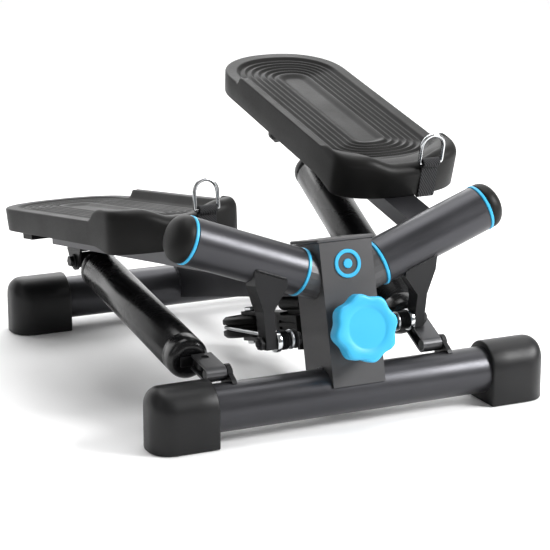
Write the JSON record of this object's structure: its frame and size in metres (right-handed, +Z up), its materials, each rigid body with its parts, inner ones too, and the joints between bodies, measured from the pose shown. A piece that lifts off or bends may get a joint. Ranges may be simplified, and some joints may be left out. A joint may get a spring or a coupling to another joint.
{
  "type": "twist stepper",
  "caption": "Twist stepper with grooved pedals on tilted pivot tubes, hydraulic cylinders, a wire rope round a pulley and a knob for step height.",
  "frame": {"origin": "on the floor, under the middle of the whole machine's box", "axes": "+X to the user's left as they stand on it facing the column, which is the right seen from the front; +Y from the column to the rear crossbar; +Z up"},
  "size_m": [0.4668, 0.5334, 0.3147],
  "materials": {
    "frame_paint": "satin dark grey with a fine metallic grain",
    "column_paint": "satin mid grey",
    "black_steel": "semi-matte black",
    "strap_steel": "dark zinc plate",
    "cylinder_paint": "gloss black",
    "bright_chrome": "polished",
    "foot_rubber": "matte",
    "black_moulding": "fine satin texture",
    "cyan_moulding": "satin",
    "bush_nylon": "smooth",
    "strap_webbing": "twill weave",
    "rope_wire": "twisted strands"
  },
  "bodies": {
    "base": {"front_crossbar": "frame_paint", "rear_crossbar": "frame_paint", "front_left_foot": "foot_rubber", "front_right_foot": "foot_rubber", "rear_left_foot": "foot_rubber", "rear_right_foot": "foot_rubber", "centre_beam": "frame_paint", "front_column": "column_paint", "column_cap": "column_paint", "column_badge": "cyan_moulding", "left_stub_axle": "column_paint", "right_stub_axle": "column_paint", "left_knuckle_bracket": "black_steel", "right_knuckle_bracket": "black_steel", "left_knuckle_pin": "bright_chrome", "right_knuckle_pin": "bright_chrome"},
    "knob": {"height_knob": "cyan_moulding", "threaded_rod": "bright_chrome"},
    "carriage": {"carriage_block": "black_moulding", "pulley_yoke": "black_steel", "pulley_pin": "bright_chrome", "pulley_rope": "rope_wire"},
    "pulley": {"pulley": "black_moulding"},
    "left_pedal_swing": {"left_pivot_tube": "frame_paint", "left_inner_ring": "cyan_moulding", "left_outer_ring": "cyan_moulding", "left_bush": "bush_nylon", "left_pivot_cap": "black_moulding", "left_lever": "black_steel", "left_rope_bolt": "bright_chrome", "left_pedal_arm": "frame_paint", "left_pedal": "black_moulding", "left_clevis": "black_steel", "left_clevis_bolt": "black_steel", "left_webbing_loop": "strap_webbing", "left_rope_run": "rope_wire"},
    "left_ring": {"left_d_ring": "bright_chrome"},
    "left_knuckle": {"left_knuckle_strap": "strap_steel", "left_yaw_pin": "black_steel"},
    "left_cylinder_body": {"left_cylinder": "cylinder_paint"},
    "left_rod": {"left_piston_rod": "bright_chrome"},
    "right_pedal_swing": {"right_pivot_tube": "frame_paint", "right_inner_ring": "cyan_moulding", "right_outer_ring": "cyan_moulding", "right_bush": "bush_nylon", "right_pivot_cap": "black_moulding", "right_lever": "black_steel", "right_rope_bolt": "bright_chrome", "right_pedal_arm": "frame_paint", "right_pedal": "black_moulding", "right_clevis": "black_steel", "right_clevis_bolt": "black_steel", "right_webbing_loop": "strap_webbing", "right_rope_run": "rope_wire"},
    "right_ring": {"right_d_ring": "bright_chrome"},
    "right_knuckle": {"right_knuckle_strap": "strap_steel", "right_yaw_pin": "black_steel"},
    "right_cylinder_body": {"right_cylinder": "cylinder_paint"},
    "right_rod": {"right_piston_rod": "bright_chrome"}
  },
  "joints": [
    {"name": "left_pedal_pivot", "type": "hinge", "parent": "base", "child": "left_pedal_swing", "pos_m": [0.00637, -0.18698, 0.1412], "axis": [0.9358, 0, -0.3527], "range_deg": [0, 22.48], "deforming": ["left_rope_run"]},
    {"name": "right_pedal_pivot", "type": "hinge", "parent": "base", "child": "right_pedal_swing", "pos_m": [0.00637, -0.18698, 0.1412], "axis": [0.9358, 0, 0.3527], "range_deg": [-22.48, 0], "deforming": ["right_rope_run"]},
    {"name": "pulley_spin", "type": "hinge", "parent": "carriage", "child": "pulley", "pos_m": [0.00637, 0.03129, 0.03621], "axis": [0, 0.2504, 0.9681], "range_deg": [-48.83, 0]},
    {"name": "knob_turn", "type": "hinge", "parent": "base", "child": "knob", "pos_m": [0.00637, -0.19875, 0.0957], "axis": [0, 0.9681, -0.2504], "range_deg": [0, 3600.5]},
    {"name": "carriage_slide", "type": "slide", "parent": "base", "child": "carriage", "axis": [0, 0.9681, -0.2504], "range_m": [-0.02, 0]},
    {"name": "left_knuckle_pitch", "type": "hinge", "parent": "base", "child": "left_knuckle", "pos_m": [-0.14013, -0.20278, 0.066], "axis": [1, 0, 0], "range_deg": [0, 18.41]},
    {"name": "left_cylinder_yaw", "type": "hinge", "parent": "left_knuckle", "child": "left_cylinder_body", "pos_m": [-0.14013, -0.17692, 0.06872], "axis": [0, -0.1046, 0.9945], "range_deg": [-7.3, 0]},
    {"name": "left_rod_slide", "type": "slide", "parent": "left_cylinder_body", "child": "left_rod", "axis": [0.0093, 0.9945, 0.1046], "range_m": [0, 0.04446]},
    {"name": "right_knuckle_pitch", "type": "hinge", "parent": "base", "child": "right_knuckle", "pos_m": [0.10937, -0.20278, 0.066], "axis": [1, 0, 0], "range_deg": [-18.41, 0]},
    {"name": "right_cylinder_yaw", "type": "hinge", "parent": "right_knuckle", "child": "right_cylinder_body", "pos_m": [0.10937, -0.1791, 0.07675], "axis": [0, -0.4134, 0.9106], "range_deg": [-8.51, 0]},
    {"name": "right_rod_slide", "type": "slide", "parent": "right_cylinder_body", "child": "right_rod", "axis": [0.0359, 0.91, 0.4131], "range_m": [-0.03843, 0]},
    {"name": "left_ring_swing", "type": "hinge", "parent": "left_pedal_swing", "child": "left_ring", "pos_m": [-0.10187, -0.09518, 0.21085], "axis": [0.9955, 0.0944, -0.0111], "range_deg": [-45, 95]},
    {"name": "right_ring_swing", "type": "hinge", "parent": "right_pedal_swing", "child": "right_ring", "pos_m": [0.15692, -0.11016, 0.24186], "axis": [0.9991, 0.043, 0.0016], "range_deg": [-45, 95]}
  ],
  "couplings": [
    {"joint": "right_pedal_pivot", "follows": "left_pedal_pivot", "ratio": -1},
    {"joint": "pulley_spin", "follows": "left_pedal_pivot", "ratio": -2.1719},
    {"joint": "knob_turn", "follows": "carriage_slide", "rad_per_m": -3141.6},
    {"joint": "left_knuckle_pitch", "follows": "left_pedal_pivot", "ratio": 0.81899},
    {"joint": "left_cylinder_yaw", "follows": "left_pedal_pivot", "ratio": -0.32451},
    {"joint": "left_rod_slide", "follows": "left_pedal_pivot", "m_per_rad": 0.11329},
    {"joint": "right_knuckle_pitch", "follows": "left_pedal_pivot", "ratio": -0.81899},
    {"joint": "right_cylinder_yaw", "follows": "left_pedal_pivot", "ratio": -0.37854},
    {"joint": "right_rod_slide", "follows": "left_pedal_pivot", "m_per_rad": -0.097922}
  ]
}
